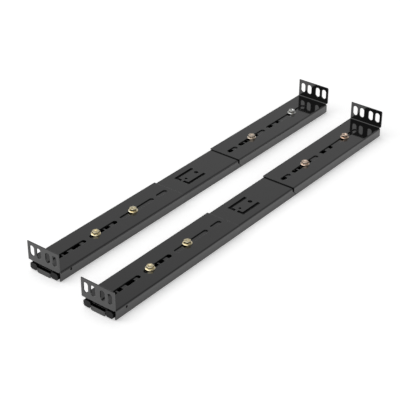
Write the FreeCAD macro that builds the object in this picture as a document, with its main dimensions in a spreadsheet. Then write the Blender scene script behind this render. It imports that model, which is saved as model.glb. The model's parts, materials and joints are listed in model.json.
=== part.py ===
"""Pair of ball-bearing server rails with depth-adjustable rack brackets.

Each rail is a telescopic slide lying with its rack side up. An angle-shaped base
carries the outer slide member below it and a rack bracket over each end. The
brackets slide along the base once their screws are loose. The middle and inner
members run out towards the front (-Y) on caged balls.

Units are millimetres. X runs across the rails, Y along them to the rear, Z up.
The origin is on the floor, in the middle of the pair.
"""
import FreeCAD, Part
import math
import os
import Sketcher

Vector = FreeCAD.Vector

# Every driving dimension: alias, value, what it is.
DIMENSIONS = (
    ("rail_pitch", 87.8, "centre line to centre line of the two rails"),
    ("rail_stagger", 13.9, "how far the right rail lies ahead of the left one"),
    ("rail_length", 490.0, "front flange face to rear flange face"),
    ("rail_height", 12.0, "floor to the brackets' top face"),
    # rack brackets
    ("bracket_width", 44.0, "one rack unit less a fitting gap"),
    ("bracket_gauge", 1.2, "sheet of both brackets"),
    ("front_bracket_length", 200.0, "flange face to the free end"),
    ("rear_bracket_length", 187.0, "flange face to the free end"),
    ("flange_height", 22.2, "flange above the top face"),
    ("flange_bend_radius", 0.8, "inside radius where the flange folds up"),
    ("lip_bend_radius", 0.6, "inside radius where the side lip folds down"),
    ("bracket_lip_depth", 10.5, "top face to the lip's lower edge"),
    ("lip_relief", 2.2, "start of the lip behind the flange face"),
    ("relief_margin", 0.3, "the corner notch's reach past the lip's bend"),
    ("lip_corner", 5.0, "chamfer on the lip's free lower corner"),
    ("flange_corner", 1.8, "rounding of the rear flange's outer top corner"),
    ("lip_hole_diameter", 3.0, "tooling hole in the lip"),
    ("lip_hole_from_flange", 17.0, "tooling hole from the flange face"),
    ("lip_hole_depth", 3.0, "tooling hole below the top face"),
    ("flange_slot_width", 6.3, "rack screw slot, across"),
    ("flange_slot_length", 12.4, "rack screw slot, up the flange"),
    ("flange_slot_rise", 12.2, "slot centre above the top face"),
    ("inner_slot_spacing", 12.7, "the two slots nearest the middle"),
    ("outer_slot_spacing", 31.75, "the two slots nearest the sides"),
    ("adjust_slot_width", 6.0, "slot that a clamping screw stands in"),
    # base
    ("base_gauge", 1.5, "sheet of the base"),
    ("base_setback", 2.4, "base end behind each flange face"),
    ("base_edge_inset", 1.3, "base edge inside the bracket's plain edge"),
    ("side_clearance", 0.1, "between the two lips"),
    ("base_hole_width", 6.0, "punched holes on the centre line"),
    ("tongue_width", 17.5, "lanced tongue between its side cuts' middles"),
    ("tongue_front", 225.0, "tongue's front cut from the flange face"),
    ("tongue_length", 29.0, "front cut to the tongue's root"),
    ("tongue_cut", 3.0, "width of the tongue's cuts"),
    ("tongue_bridge", 3.0, "web left uncut in the tongue's front cut"),
    ("tongue_hole_diameter", 4.0, "hole near the tongue's root"),
    ("tongue_hole_inset", 4.5, "that hole ahead of the root"),
    ("tongue_tip_hole_diameter", 2.5, "smaller hole near the tongue's front"),
    ("tongue_tip_hole_inset", 6.0, "that hole behind the front cut"),
    # clamping screws
    ("screw_diameter", 5.0, "clamping screw, M5"),
    ("screw_flange_diameter", 10.6, "washer face of the head"),
    ("screw_flange_height", 1.1, "thickness of the washer face"),
    ("screw_hex_width", 7.6, "head across flats"),
    ("screw_head_height", 4.0, "washer face and hexagon together"),
    ("front_screw_1", 78.0, "first front screw from the front flange face"),
    ("front_screw_2", 138.0, "second front screw"),
    ("rear_screw_1", 134.0, "first rear screw from the rear flange face"),
    ("rear_screw_2", 49.0, "second rear screw"),
    # telescopic slide
    ("slide_width", 39.6, "outer member across its curled sides"),
    ("slide_side_gap", 0.2, "outer member to the base's lip"),
    ("outer_gauge", 1.2, "sheet of the outer member"),
    ("middle_gauge", 0.9, "web of the middle member"),
    ("middle_neck", 1.0, "metal between the middle member's two grooves"),
    ("inner_gauge", 1.2, "web of the inner member"),
    ("inner_wall", 1.7, "side wall of the inner member"),
    ("inner_corner_radius", 2.4, "lower outside corners of the inner member"),
    ("middle_corner", 1.2, "chamfer on the middle member's upper corners"),
    ("web_gap", 0.15, "running gap between webs"),
    ("outer_end_inset", 3.0, "outer member's front end behind the flange face"),
    ("outer_rear_inset", 4.0, "outer member's rear end ahead of the rear flange"),
    ("window_width", 8.0, "windows in the outer member's web"),
    ("window_margin", 5.0, "a window's reach past its outermost screw or hole"),
    ("middle_front", 2.8, "middle member's front end"),
    ("middle_stop_gap", 10.0, "middle member's rear end to the rear stop"),
    ("inner_stop_gap", 2.0, "inner member's rear end to the rear stop"),
    ("end_tab_gap", 0.3, "inner member's end tab to its side walls"),
    ("chassis_hole_diameter", 4.5, "holes for the chassis screws, M4"),
    ("chassis_hole_first", 30.0, "first chassis hole from the front end"),
    ("chassis_hole_pitch", 140.0, "chassis hole to chassis hole"),
    # balls and cages
    ("ball_diameter", 3.968, "5/32 in bearing ball"),
    ("ball_clearance", 0.1, "ball to groove"),
    ("ball_height", 4.2, "ball centres above the floor"),
    ("groove_depth", 0.5, "groove below the face of a side wall"),
    ("curl_upper_angle", 50.0, "degrees of curl above the balls"),
    ("curl_lower_angle", 70.0, "degrees of curl below the balls"),
    ("cage_gauge", 0.4, "sheet of the ball cages"),
    ("cage_leg_gauge", 0.5, "pressed side strips of the cages"),
    ("cage_leg_reach", 2.7, "side strip below the ball centres"),
    ("cage_front", 128.0, "front end of both cages"),
    ("cage_length", 220.0, "both cages"),
    ("ball_end_inset", 10.0, "outermost ball from the cage's end"),
    # bumpers, stop and release lever
    ("bumper_length", 6.0, "plastic plug in the end of a ball track"),
    ("bumper_setback", 0.8, "plug behind the member's end"),
    ("bumper_flat", 1.2, "plug from the ball track's centre to its plain side"),
    ("bumper_rise", 1.6, "plug above and below the ball track's centre"),
    ("bumper_bevel", 1.0, "bevels that seat the plug in the groove"),
    ("cap_thickness", 2.6, "end cap ahead of the middle member"),
    ("cap_gap", 0.3, "end cap to the inner member, the outer sides and the base"),
    ("cap_foot", 1.2, "floor to the end cap's underside"),
    ("cap_corner", 1.5, "chamfers on the end cap's corners"),
    ("stop_length", 6.0, "rear stop along the rail"),
    ("stop_half_width", 7.0, "rear stop across, to each side"),
    ("stop_foot", 1.6, "floor to the rear stop's underside"),
    ("lever_pivot", 252.0, "lever pivot from the inner member's front end"),
    ("lever_thickness", 3.0, "release lever"),
    ("lever_half_width", 2.6, "lever bar, to each side of its centre line"),
    ("lever_reach", 38.0, "pivot to the finger end"),
    ("lever_tail", 12.0, "pivot to the rear end"),
    ("lever_nose_reach", 9.4, "tip of the catch from the centre line"),
    ("lever_nose_place", 27.0, "pivot to the catch"),
    ("lever_nose_length", 6.0, "catch along the rail"),
    ("lever_lift", 0.25, "lever above the web it lies on"),
    ("lever_pin_radius", 1.5, "pivot pin"),
    ("lever_pin_head_radius", 2.6, "head of the pivot pin"),
    ("lever_pin_head_height", 0.7, "thickness of that head"),
    ("running_clearance", 0.05, "pin to bore, on radius"),
    ("window_clearance", 1.4, "catch window before and behind the catch"),
    ("window_headroom", 0.2, "catch window below and above the catch"),
    ("screw_fit", 0.05, "clamping screw to its hole in the base, on radius"),
)
# Slots in the brackets' top plates, from the bracket's own flange face: start, end.
FRONT_SLOTS = ((21.0, 62.0), (69.0, 111.0), (117.5, 172.0), (178.3, 195.0))
REAR_SLOTS = ((22.0, 102.0), (108.0, 159.0), (164.0, 181.0))
# Holes punched in the base: centre from the nearer flange face, length.
FRONT_HOLES = (
    (24.0, 6.0), (32.3, 6.5), (48.0, 12.0), (65.5, 13.0),
    (88.0, 6.0), (96.5, 7.0), (112.0, 12.0),
)
REAR_HOLES = ((79.0, 6.0), (94.0, 8.0), (124.0, 6.0), (144.0, 6.0), (153.5, 9.0), (176.0, 10.0))
CHASSIS_HOLES = 4
BALLS_PER_ROW = 3
BALL_SIDES = 6
BALL_BANDS = 4


class Size:
    """A length or angle that carries its number and its spreadsheet formula."""

    def __init__(self, number, formula):
        self.number = float(number)
        self.formula = formula

    @staticmethod
    def of(value):
        """A Size as it is, or a plain number as a Size."""
        return value if isinstance(value, Size) else Size(value, repr(float(value)))

    def joined(self, sign, other, number):
        return Size(number, f"({self.formula} {sign} {other.formula})")

    def __add__(self, other):
        other = Size.of(other)
        return self.joined("+", other, self.number + other.number)

    def __sub__(self, other):
        other = Size.of(other)
        return self.joined("-", other, self.number - other.number)

    def __mul__(self, other):
        other = Size.of(other)
        return self.joined("*", other, self.number * other.number)

    def __truediv__(self, other):
        other = Size.of(other)
        return self.joined("/", other, self.number / other.number)

    def __neg__(self):
        return Size(-self.number, f"(0 - {self.formula})")

    def __radd__(self, other):
        return Size.of(other) + self

    def __rsub__(self, other):
        return Size.of(other) - self

    def __rmul__(self, other):
        return Size.of(other) * self

    def cos(self):
        """Cosine of an angle in degrees."""
        return Size(math.cos(math.radians(self.number)), f"cos({self.formula})")

    def sin(self):
        """Sine of an angle in degrees."""
        return Size(math.sin(math.radians(self.number)), f"sin({self.formula})")

    def root(self):
        """Square root."""
        return Size(math.sqrt(self.number), f"sqrt({self.formula})")


class Sheet:
    """The document's spreadsheet, with each driving dimension as an attribute."""

    def __init__(self, doc, rows):
        table = doc.addObject("Spreadsheet::Sheet", "Dims")
        for row, (alias, value, note) in enumerate(rows, 1):
            table.set(f"A{row}", alias)
            table.set(f"B{row}", str(value))
            table.set(f"C{row}", note)
            table.setAlias(f"B{row}", alias)
            setattr(self, alias, Size(value, f"Dims.{alias}"))


def least(sizes):
    """The smallest of several Sizes."""
    return min(sizes, key=lambda one: one.number)


def most(sizes):
    """The largest of several Sizes."""
    return max(sizes, key=lambda one: one.number)


def listed_rows():
    """Spreadsheet rows for the slots and holes that are listed by place."""
    rows = []
    for kind, slots in (("front_slot", FRONT_SLOTS), ("rear_slot", REAR_SLOTS)):
        for number, (start, end) in enumerate(slots):
            rows.append((f"{kind}_{number}_start", start, "start from the flange face"))
            rows.append((f"{kind}_{number}_end", end, "end from the flange face"))
    for kind, holes in (("front_hole", FRONT_HOLES), ("rear_hole", REAR_HOLES)):
        for number, (centre, length) in enumerate(holes):
            rows.append((f"{kind}_{number}_centre", centre, "from the flange face"))
            rows.append((f"{kind}_{number}_length", length, "along the rail"))
    return rows


doc = FreeCAD.newDocument("ServerRailPair")
size = Sheet(doc, DIMENSIONS + tuple(listed_rows()))
doc.recompute()


class Levels:
    """Heights above the floor and widths from the slide's centre, all worked out."""

    top = size.rail_height
    plate = top - size.bracket_gauge
    base_under = plate - size.base_gauge
    outer_web = base_under - size.outer_gauge
    outer_cage_top = outer_web - size.web_gap
    outer_cage_under = outer_cage_top - size.cage_gauge
    middle_top = outer_cage_under - size.web_gap
    middle_under = middle_top - size.middle_gauge
    inner_cage_top = middle_under - size.web_gap
    inner_cage_under = inner_cage_top - size.cage_gauge
    inner_top = inner_cage_under - size.web_gap

    groove = size.ball_diameter / 2 + size.ball_clearance
    outer_track = size.slide_width / 2 - size.outer_gauge - groove
    inner_track = outer_track - groove - size.middle_neck - groove
    face_offset = groove - size.groove_depth
    groove_half = (groove * groove - face_offset * face_offset).root()
    middle_outer_face = outer_track - face_offset
    middle_inner_face = inner_track + face_offset
    inner_outer_face = inner_track - face_offset
    inner_inner_face = inner_outer_face - size.inner_wall

    half_bracket = size.bracket_width / 2
    bracket_lip_inside = half_bracket - size.bracket_gauge
    base_lip_outside = bracket_lip_inside - size.side_clearance
    base_lip_inside = base_lip_outside - size.base_gauge
    slide_centre = base_lip_inside - size.slide_side_gap - size.slide_width / 2
    slide_rear = size.rail_length - size.outer_rear_inset
    stop_front = slide_rear - size.stop_length
    lever_under = size.inner_gauge + size.lever_lift
    front_screws = (size.front_screw_1, size.front_screw_2)
    rear_screws = (size.rail_length - size.rear_screw_1, size.rail_length - size.rear_screw_2)


class Rail:
    """Where one rail stands in the pair."""

    def __init__(self, side, across):
        self.side = side
        self.x = across * size.rail_pitch / 2
        self.y = -(size.rail_length + across * size.rail_stagger) / 2


def bind(target, name, value):
    """Sets a property from a Size, through the spreadsheet where it has a formula."""
    target.setExpression(name, Size.of(value).formula)


def place(target, rail, x=0.0, y=0.0, z=0.0):
    """Puts a sub-part at its rail's origin plus an offset."""
    bind(target, "Placement.Base.x", rail.x + x)
    bind(target, "Placement.Base.y", rail.y + y)
    bind(target, "Placement.Base.z", z)


class SubPart:
    """One PartDesign body, built feature by feature."""

    def __init__(self, rail, name):
        self.body = doc.addObject("PartDesign::Body", f"{rail.side}_{name}")
        self.body.Label = f"{rail.side}_{name}"
        self.body.AllowCompound = True
        self.last = None

    def plane(self, role):
        for feature in self.body.Origin.OriginFeatures:
            if feature.Role == role:
                return feature
        raise ValueError(f"no origin plane {role}")

    def sketch(self, role, offset=0.0):
        """A sketch on an origin plane, moved along the plane's normal by offset."""
        sketch = self.body.newObject("Sketcher::SketchObject", f"{self.body.Name}_sketch")
        sketch.AttachmentSupport = (self.plane(role), [""])
        sketch.MapMode = "FlatFace"
        bind(sketch, "AttachmentOffset.Base.z", offset)
        return sketch

    def finish(self, feature):
        """Recomputes, makes the feature the body's tip and returns it."""
        self.body.Tip = feature
        doc.recompute()
        if "Invalid" in feature.State:
            raise RuntimeError(f"{feature.Name}: {feature.getStatusString()}")
        self.last = feature
        return feature

    def pad(self, sketch, length, backwards=False):
        """Pads along the plane's normal, or against it. XZ sketches pad to the rear
        with backwards=True."""
        feature = self.body.newObject("PartDesign::Pad", f"{self.body.Name}_pad")
        feature.Profile = sketch
        feature.Reversed = backwards
        bind(feature, "Length", length)
        return self.finish(feature)

    def pad_both_ways(self, sketch, length):
        """Pads half of the length to each side of the plane."""
        feature = self.body.newObject("PartDesign::Pad", f"{self.body.Name}_pad")
        feature.Profile = sketch
        feature.SideType = "Symmetric"
        bind(feature, "Length", length)
        return self.finish(feature)

    def cut_through(self, sketch):
        """Cuts both ways through everything and checks that something went."""
        before = self.body.Shape.Volume
        feature = self.body.newObject("PartDesign::Pocket", f"{self.body.Name}_pocket")
        feature.Profile = sketch
        feature.Type = "ThroughAll"
        feature.SideType = "Symmetric"
        self.finish(feature)
        self.check_cut(before)
        return feature

    def cut_deep(self, sketch, depth, backwards=False):
        """Cuts to a depth against the plane's normal and checks the volume."""
        before = self.body.Shape.Volume
        feature = self.body.newObject("PartDesign::Pocket", f"{self.body.Name}_pocket")
        feature.Profile = sketch
        feature.Reversed = backwards
        bind(feature, "Length", depth)
        self.finish(feature)
        self.check_cut(before)
        return feature

    def check_cut(self, before):
        if self.body.Shape.Volume >= before:
            raise ValueError(f"{self.body.Label}: a pocket removed nothing")

    def mirror(self, features):
        """Mirrors features across the body's YZ plane."""
        feature = self.body.newObject("PartDesign::Mirrored", f"{self.body.Name}_mirror")
        feature.Originals = features
        feature.MirrorPlane = (self.plane("YZ_Plane"), [""])
        return self.finish(feature)

    def round_edges(self, edges, radius):
        feature = self.body.newObject("PartDesign::Fillet", f"{self.body.Name}_fillet")
        feature.Base = (self.last, edges)
        bind(feature, "Radius", radius)
        return self.finish(feature)

    def edges_along(self, axis, **places):
        """Names of the straight edges along an axis at the given coordinates."""
        names = []
        for number, edge in enumerate(self.last.Shape.Edges, 1):
            ends = [vertex.Point for vertex in edge.Vertexes]
            if len(ends) != 2 or not is_along(ends, axis):
                continue
            if all(abs(getattr(end, key) - Size.of(value).number) < 1e-4
                   for end in ends for key, value in places.items()):
                names.append(f"Edge{number}")
        if not names:
            raise ValueError(f"{self.body.Label}: no edge along {axis} at {places}")
        return names


def is_along(ends, axis):
    """True where an edge's two ends differ only along one axis."""
    others = [key for key in "xyz" if key != axis]
    return all(abs(getattr(ends[0], key) - getattr(ends[1], key)) < 1e-4 for key in others)


def fix_point(sketch, geometry, position, x, y):
    """Dimensions one point from the sketch's origin."""
    for kind, value in (("DistanceX", Size.of(x)), ("DistanceY", Size.of(y))):
        constraint = Sketcher.Constraint(kind, -1, 1, geometry, position, value.number)
        index = sketch.addConstraint(constraint)
        sketch.setExpression(f"Constraints[{index}]", value.formula)


def fix_radius(sketch, geometry, radius):
    """Dimensions a circle's or an arc's radius."""
    index = sketch.addConstraint(Sketcher.Constraint("Radius", geometry, radius.number))
    sketch.setExpression(f"Constraints[{index}]", radius.formula)


def add_circle(sketch, x, y, radius):
    """A circle with its centre and radius dimensioned."""
    x, y, radius = Size.of(x), Size.of(y), Size.of(radius)
    centre = Vector(x.number, y.number, 0)
    circle = sketch.addGeometry(Part.Circle(centre, Vector(0, 0, 1), radius.number))
    fix_radius(sketch, circle, radius)
    fix_point(sketch, circle, 3, x, y)


def add_outline(sketch, corners):
    """A closed outline. A corner is (x, y), or (x, y, arc) where an arc leads on to
    the next corner, given as (centre x, centre y, radius, anticlockwise)."""
    pieces = []
    for number, corner in enumerate(corners):
        start = [Size.of(value) for value in corner[:2]]
        end = [Size.of(value) for value in corners[(number + 1) % len(corners)][:2]]
        arc = corner[2] if len(corner) > 2 else None
        pieces.append(add_piece(sketch, start, end, arc))
    for number, (geometry, first, last, start, arc) in enumerate(pieces):
        following, next_first = pieces[(number + 1) % len(pieces)][:2]
        sketch.addConstraint(
            Sketcher.Constraint("Coincident", geometry, last, following, next_first))
        fix_point(sketch, geometry, first, *start)
        if arc:
            fix_radius(sketch, geometry, Size.of(arc[2]))


def add_piece(sketch, start, end, arc):
    """One line or arc of an outline, with the numbers of its two end points."""
    if arc is None:
        line = Part.LineSegment(*(Vector(x.number, y.number, 0) for x, y in (start, end)))
        return sketch.addGeometry(line), 1, 2, start, arc
    centre = [Size.of(value).number for value in arc[:2]]
    angles = [math.atan2(y.number - centre[1], x.number - centre[0]) for x, y in (start, end)]
    anticlockwise = arc[3]
    low, high = angles if anticlockwise else reversed(angles)
    if high < low:
        high += 2 * math.pi
    circle = Part.Circle(Vector(*centre, 0), Vector(0, 0, 1), Size.of(arc[2]).number)
    geometry = sketch.addGeometry(Part.ArcOfCircle(circle, low, high))
    first, last = (1, 2) if anticlockwise else (2, 1)
    return geometry, first, last, start, arc


def add_rectangle(sketch, low_x, low_y, high_x, high_y):
    """A rectangle between two corners."""
    corners = ((low_x, low_y), (high_x, low_y), (high_x, high_y), (low_x, high_y))
    add_outline(sketch, corners)


def add_cornered_rectangle(sketch, low_x, low_y, high_x, high_y, corner):
    """A closed rectangle with its four corners cut off."""
    add_outline(sketch, (
        (low_x + corner, low_y), (high_x - corner, low_y),
        (high_x, low_y + corner), (high_x, high_y - corner),
        (high_x - corner, high_y), (low_x + corner, high_y),
        (low_x, high_y - corner), (low_x, low_y + corner),
    ))


def add_slot(sketch, x, low_y, high_y, width):
    """A slot with round ends, along the sketch's Y axis."""
    x, radius = Size.of(x), Size.of(width) / 2
    lower, upper = low_y + radius, high_y - radius
    arcs = []
    for centre_y, start in ((upper, 0.0), (lower, math.pi)):
        centre = Vector(x.number, centre_y.number, 0)
        circle = Part.Circle(centre, Vector(0, 0, 1), radius.number)
        arcs.append(sketch.addGeometry(Part.ArcOfCircle(circle, start, start + math.pi)))
    top, bottom = arcs
    lines = []
    for sign, ends in ((-1, (upper, lower)), (1, (lower, upper))):
        side = x.number + sign * radius.number
        points = [Vector(side, end.number, 0) for end in ends]
        lines.append(sketch.addGeometry(Part.LineSegment(*points)))
    left, right = lines
    for first, second in ((top, left), (left, bottom), (bottom, right), (right, top)):
        sketch.addConstraint(Sketcher.Constraint("Tangent", first, 2, second, 1))
    sketch.addConstraint(Sketcher.Constraint("Equal", top, bottom))
    fix_radius(sketch, top, radius)
    fix_point(sketch, top, 3, x, upper)
    fix_point(sketch, bottom, 3, x, lower)


def make_bracket(rail, name, length, slots, front):
    """A rack bracket: top plate, side lip and slotted flange, folded from one sheet.
    Y runs from the flange's outer face along the plate, or back from it at the rear."""
    part = SubPart(rail, name)
    forwards = 1 if front else -1
    half, gauge = Levels.half_bracket, size.bracket_gauge
    lip_bottom = Levels.top - size.bracket_lip_depth

    inside, outside = size.flange_bend_radius, size.flange_bend_radius + gauge
    free_end, flange_top = forwards * length, Levels.top + size.flange_height
    fold = part.sketch("YZ_Plane")
    add_outline(fold, (
        (free_end, Levels.plate),
        (forwards * outside, Levels.plate,
         (forwards * outside, Levels.plate + outside, outside, not front)),
        (0.0, Levels.plate + outside), (0.0, flange_top), (forwards * gauge, flange_top),
        (forwards * gauge, Levels.top + inside,
         (forwards * outside, Levels.top + inside, inside, front)),
        (forwards * outside, Levels.top), (free_end, Levels.top),
    ))
    part.pad_both_ways(fold, size.bracket_width)

    lip = part.sketch("XZ_Plane")
    add_rectangle(lip, Levels.bracket_lip_inside, lip_bottom, half, Levels.plate)
    part.pad(lip, length, backwards=front)
    relief = part.sketch("XY_Plane", Levels.top)
    bend = half - size.lip_bend_radius - gauge - size.relief_margin
    add_rectangle(relief, bend, -forwards * gauge, half + gauge, forwards * size.lip_relief)
    part.cut_deep(relief, Levels.top)
    crease = part.edges_along("y", x=Levels.bracket_lip_inside, z=Levels.plate)
    part.round_edges(crease, size.lip_bend_radius)
    shoulder = part.edges_along("y", x=half, z=Levels.top)
    part.round_edges(shoulder, size.lip_bend_radius + gauge)

    ends = part.sketch("YZ_Plane")
    corner = forwards * size.lip_corner
    add_outline(ends, (
        (free_end - corner, lip_bottom), (free_end, lip_bottom),
        (free_end, lip_bottom + size.lip_corner),
    ))
    part.cut_through(ends)

    rack = part.sketch("XZ_Plane")
    middle = Levels.top + size.flange_slot_rise
    low, high = middle - size.flange_slot_length / 2, middle + size.flange_slot_length / 2
    for spacing in (size.inner_slot_spacing, size.outer_slot_spacing):
        for sign in (-0.5, 0.5):
            add_slot(rack, spacing * sign, low, high, size.flange_slot_width)
    part.cut_through(rack)
    if not front:
        part.round_edges(part.edges_along("y", x=half, z=flange_top), size.flange_corner)

    adjust = part.sketch("XY_Plane")
    for start, end in slots:
        low, high = (start, end) if front else (-end, -start)
        add_slot(adjust, Size.of(0.0), low, high, size.adjust_slot_width)
    part.cut_through(adjust)

    if front:
        tooling = part.sketch("YZ_Plane")
        add_circle(tooling, size.lip_hole_from_flange,
                   Levels.top - size.lip_hole_depth, size.lip_hole_diameter / 2)
        part.cut_through(tooling)
    place(part.body, rail, y=0.0 if front else size.rail_length)
    return part.body


def make_base(rail):
    """The base: an angle section with its lip on the floor, punched on the centre
    line, with a tongue lanced in the stretch between the brackets."""
    part = SubPart(rail, "base_channel")
    edge = -Levels.half_bracket + size.base_edge_inset
    section = part.sketch("XZ_Plane")
    add_outline(section, (
        (edge, Levels.base_under), (Levels.base_lip_inside, Levels.base_under),
        (Levels.base_lip_inside, 0.0), (Levels.base_lip_outside, 0.0),
        (Levels.base_lip_outside, Levels.plate), (edge, Levels.plate),
    ))
    part.pad(section, size.rail_length - 2 * size.base_setback, backwards=True)
    crease = part.edges_along("y", x=Levels.base_lip_inside, z=Levels.base_under)
    part.round_edges(crease, size.lip_bend_radius)
    shoulder = part.edges_along("y", x=Levels.base_lip_outside, z=Levels.plate)
    part.round_edges(shoulder, size.lip_bend_radius + size.base_gauge)

    holes = part.sketch("XY_Plane")
    for low, high in front_hole_spans() + rear_hole_spans():
        add_rectangle(holes, -size.base_hole_width / 2, low - size.base_setback,
                      size.base_hole_width / 2, high - size.base_setback)
    for station in Levels.front_screws + Levels.rear_screws:
        add_circle(holes, 0.0, station - size.base_setback,
                   size.screw_diameter / 2 + size.screw_fit)
    part.cut_through(holes)

    lance = part.sketch("XY_Plane")
    add_tongue(lance, Levels.slide_centre, size.tongue_front - size.base_setback)
    part.cut_through(lance)
    place(part.body, rail, y=size.base_setback)
    return part.body


def add_tongue(sketch, x, front):
    """The two L-shaped cuts that free a tongue, and the tongue's two holes."""
    half, cut = size.tongue_width / 2, size.tongue_cut / 2
    root = front + size.tongue_length
    for sign in (-1, 1):
        bridge = x + sign * size.tongue_bridge / 2
        inside, outside = x + sign * (half - cut), x + sign * (half + cut)
        add_outline(sketch, (
            (bridge, front - cut), (outside, front - cut), (outside, root),
            (inside, root), (inside, front + cut), (bridge, front + cut),
        ))
    add_circle(sketch, x, root - size.tongue_hole_inset, size.tongue_hole_diameter / 2)
    add_circle(sketch, x, front + size.tongue_tip_hole_inset, size.tongue_tip_hole_diameter / 2)


def hole_spans(kind, holes):
    """Start and end of each punched hole, from the flange face it is measured from."""
    spans = []
    for number in range(len(holes)):
        centre = getattr(size, f"{kind}_hole_{number}_centre")
        half = getattr(size, f"{kind}_hole_{number}_length") / 2
        spans.append((centre - half, centre + half))
    return spans


def front_hole_spans():
    """The holes under the front bracket, from the front flange face."""
    return hole_spans("front", FRONT_HOLES)


def rear_hole_spans():
    """The holes under the rear bracket, from the front flange face."""
    return [(size.rail_length - high, size.rail_length - low)
            for low, high in hole_spans("rear", REAR_HOLES)]


def make_outer_member(rail):
    """The outer slide member: a rolled channel whose sides curl round the balls."""
    part = SubPart(rail, "outer_member")
    track, height = Levels.outer_track, size.ball_height
    inside, outside = Levels.groove, Levels.groove + size.outer_gauge
    upper, lower = size.curl_upper_angle, -size.curl_lower_angle

    def on_curl(radius, angle):
        return track + radius * angle.cos(), height + radius * angle.sin()

    def web_corner(radius, level):
        x, z = on_curl(radius, upper)
        return x - (level - z) * upper.sin() / upper.cos(), level

    section = part.sketch("XZ_Plane")
    add_outline(section, (
        (0.0, Levels.outer_web), (0.0, Levels.base_under),
        web_corner(outside, Levels.base_under),
        (*on_curl(outside, upper), (track, height, outside, False)),
        on_curl(outside, lower),
        (*on_curl(inside, lower), (track, height, inside, True)),
        on_curl(inside, upper),
        web_corner(inside, Levels.outer_web),
    ))
    half = part.pad(section, Levels.slide_rear - size.outer_end_inset, backwards=True)
    part.mirror([half])

    windows = part.sketch("XY_Plane")
    half_window = size.window_width / 2
    for spans, screws in ((front_hole_spans(), Levels.front_screws),
                          (rear_hole_spans(), Levels.rear_screws)):
        start = least([low for low, high in spans]) - size.window_margin
        end = most(list(screws)) + size.window_margin
        add_rectangle(windows, -Levels.slide_centre - half_window, start - size.outer_end_inset,
                      -Levels.slide_centre + half_window, end - size.outer_end_inset)
    part.cut_through(windows)
    place(part.body, rail, x=Levels.slide_centre, y=size.outer_end_inset)
    return part.body


def make_middle_member(rail):
    """The middle slide member: a channel grooved for balls on both faces of its sides."""
    part = SubPart(rail, "middle_member")
    height, reach = size.ball_height, Levels.groove_half
    outer_x, inner_x = Levels.middle_outer_face, Levels.middle_inner_face
    foot = height - reach - size.groove_depth
    section = part.sketch("XZ_Plane")
    add_outline(section, (
        (0.0, Levels.middle_under), (0.0, Levels.middle_top),
        (outer_x - size.middle_corner, Levels.middle_top),
        (outer_x, Levels.middle_top - size.middle_corner),
        (outer_x, height + reach, (Levels.outer_track, height, Levels.groove, True)),
        (outer_x, height - reach),
        (outer_x, foot), (inner_x, foot),
        (inner_x, height - reach, (Levels.inner_track, height, Levels.groove, True)),
        (inner_x, height + reach),
        (inner_x, Levels.middle_under),
    ))
    length = Levels.stop_front - size.middle_stop_gap - size.middle_front
    half = part.pad(section, length, backwards=True)
    part.mirror([half])
    place(part.body, rail, x=Levels.slide_centre, y=size.middle_front)
    return part.body


def make_inner_member(rail):
    """The inner member, which the chassis bolts to: grooved walls, an end tab folded
    up at the front, chassis holes and a window for the release lever's catch."""
    part = SubPart(rail, "inner_member")
    height, reach, corner = size.ball_height, Levels.groove_half, size.inner_corner_radius
    face, wall = Levels.inner_outer_face, Levels.inner_inner_face
    section = part.sketch("XZ_Plane")
    add_outline(section, (
        (0.0, 0.0),
        (face - corner, 0.0, (face - corner, corner, corner, True)),
        (face, corner),
        (face, height - reach, (Levels.inner_track, height, Levels.groove, False)),
        (face, height + reach),
        (face, Levels.inner_top), (wall, Levels.inner_top),
        (wall, size.inner_gauge), (0.0, size.inner_gauge),
    ))
    half = part.pad(section, Levels.stop_front - size.inner_stop_gap, backwards=True)
    part.mirror([half])

    tab = part.sketch("XZ_Plane")
    side = wall - size.end_tab_gap
    add_rectangle(tab, -side, size.inner_gauge / 2, side, Levels.inner_top)
    part.pad(tab, size.inner_gauge, backwards=True)

    holes = part.sketch("XY_Plane")
    for number in range(CHASSIS_HOLES):
        station = size.chassis_hole_first + number * size.chassis_hole_pitch
        add_circle(holes, 0.0, station, size.chassis_hole_diameter / 2)
    part.cut_through(holes)

    window = part.sketch("YZ_Plane")
    nose = size.lever_pivot - size.lever_nose_place
    add_rectangle(window, nose - size.window_clearance,
                  Levels.lever_under - size.window_headroom,
                  nose + size.lever_nose_length + size.window_clearance,
                  Levels.lever_under + size.lever_thickness + size.window_headroom)
    part.cut_deep(window, face + size.inner_wall, backwards=True)
    place(part.body, rail, x=Levels.slide_centre)
    return part.body


def cage_pockets(part):
    """Square windows for the balls, through both side strips of a cage."""
    pockets = part.sketch("YZ_Plane")
    half = Levels.groove
    for station in ball_stations():
        add_rectangle(pockets, station - half, size.ball_height - half,
                      station + half, size.ball_height + half)
    part.cut_through(pockets)


def ball_stations():
    """Ball places along a cage, from the cage's front end."""
    step = (size.cage_length - 2 * size.ball_end_inset) / (BALLS_PER_ROW - 1)
    return [size.ball_end_inset + number * step for number in range(BALLS_PER_ROW)]


def make_outer_cage(rail):
    """The cage between the outer and middle members, folded round the middle one."""
    part = SubPart(rail, "outer_cage")
    half = size.cage_leg_gauge / 2
    outside, inside = Levels.outer_track + half, Levels.outer_track - half
    foot = size.ball_height - size.cage_leg_reach
    knee = size.ball_height + Levels.groove - size.cage_gauge / 2
    section = part.sketch("XZ_Plane")
    add_outline(section, (
        (0.0, Levels.outer_cage_under), (0.0, Levels.outer_cage_top),
        (outside - (Levels.outer_cage_top - knee), Levels.outer_cage_top),
        (outside, knee), (outside, foot), (inside, foot), (inside, knee - half),
        (inside - (Levels.outer_cage_under - knee + half), Levels.outer_cage_under),
    ))
    strip = part.pad(section, size.cage_length, backwards=True)
    part.mirror([strip])
    cage_pockets(part)
    place(part.body, rail, x=Levels.slide_centre, y=size.cage_front)
    return part.body


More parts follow.
